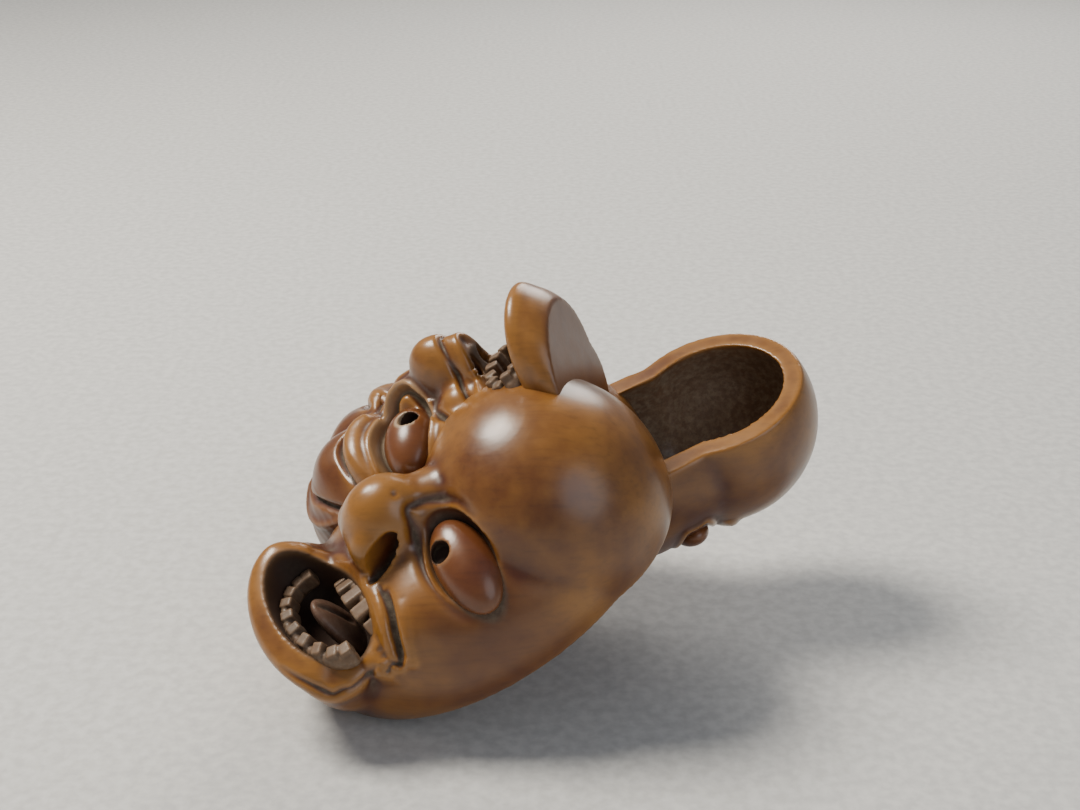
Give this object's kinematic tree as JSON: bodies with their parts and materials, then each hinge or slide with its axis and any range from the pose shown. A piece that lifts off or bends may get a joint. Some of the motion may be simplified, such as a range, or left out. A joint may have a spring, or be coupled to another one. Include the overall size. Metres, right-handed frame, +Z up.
{
  "type": "noh mask netsuke",
  "caption": "Small carved boxwood toggle, a cluster of theatre masks facing different ways round a hidden core, with an open hollow mask and a cord tunnel.",
  "frame": {"origin": "centre of the footprint box, on the surface that the cluster lies on", "axes": "+Z up as it lies, +Y away from the viewer, +X to the viewer's right, along the length of the cluster"},
  "size_m": [0.0498, 0.0342, 0.0346],
  "materials": {
    "boxwood": "polished",
    "core_wood": "matte",
    "eye_wood": "polished",
    "tooth_wood": "satin",
    "stained_wood": "satin"
  },
  "bodies": {
    "root": {"core_block": "core_wood", "laughing_mask": "boxwood", "laughing_left_eye": "eye_wood", "laughing_upper_teeth": "tooth_wood", "laughing_lower_teeth": "tooth_wood", "laughing_tongue": "stained_wood", "laughing_peg": "core_wood", "scowling_mask": "boxwood", "scowling_left_eye": "eye_wood", "scowling_right_eye": "eye_wood", "scowling_upper_teeth": "tooth_wood", "scowling_lower_teeth": "tooth_wood", "scowling_tongue": "stained_wood", "scowling_peg": "core_wood", "hollow_mask": "boxwood", "hollow_left_eye": "eye_wood", "hollow_right_eye": "eye_wood", "smiling_mask": "boxwood", "smiling_left_eye": "eye_wood", "smiling_right_eye": "eye_wood", "smiling_upper_teeth": "tooth_wood", "smiling_peg": "core_wood"}
  },
  "joints": []
}
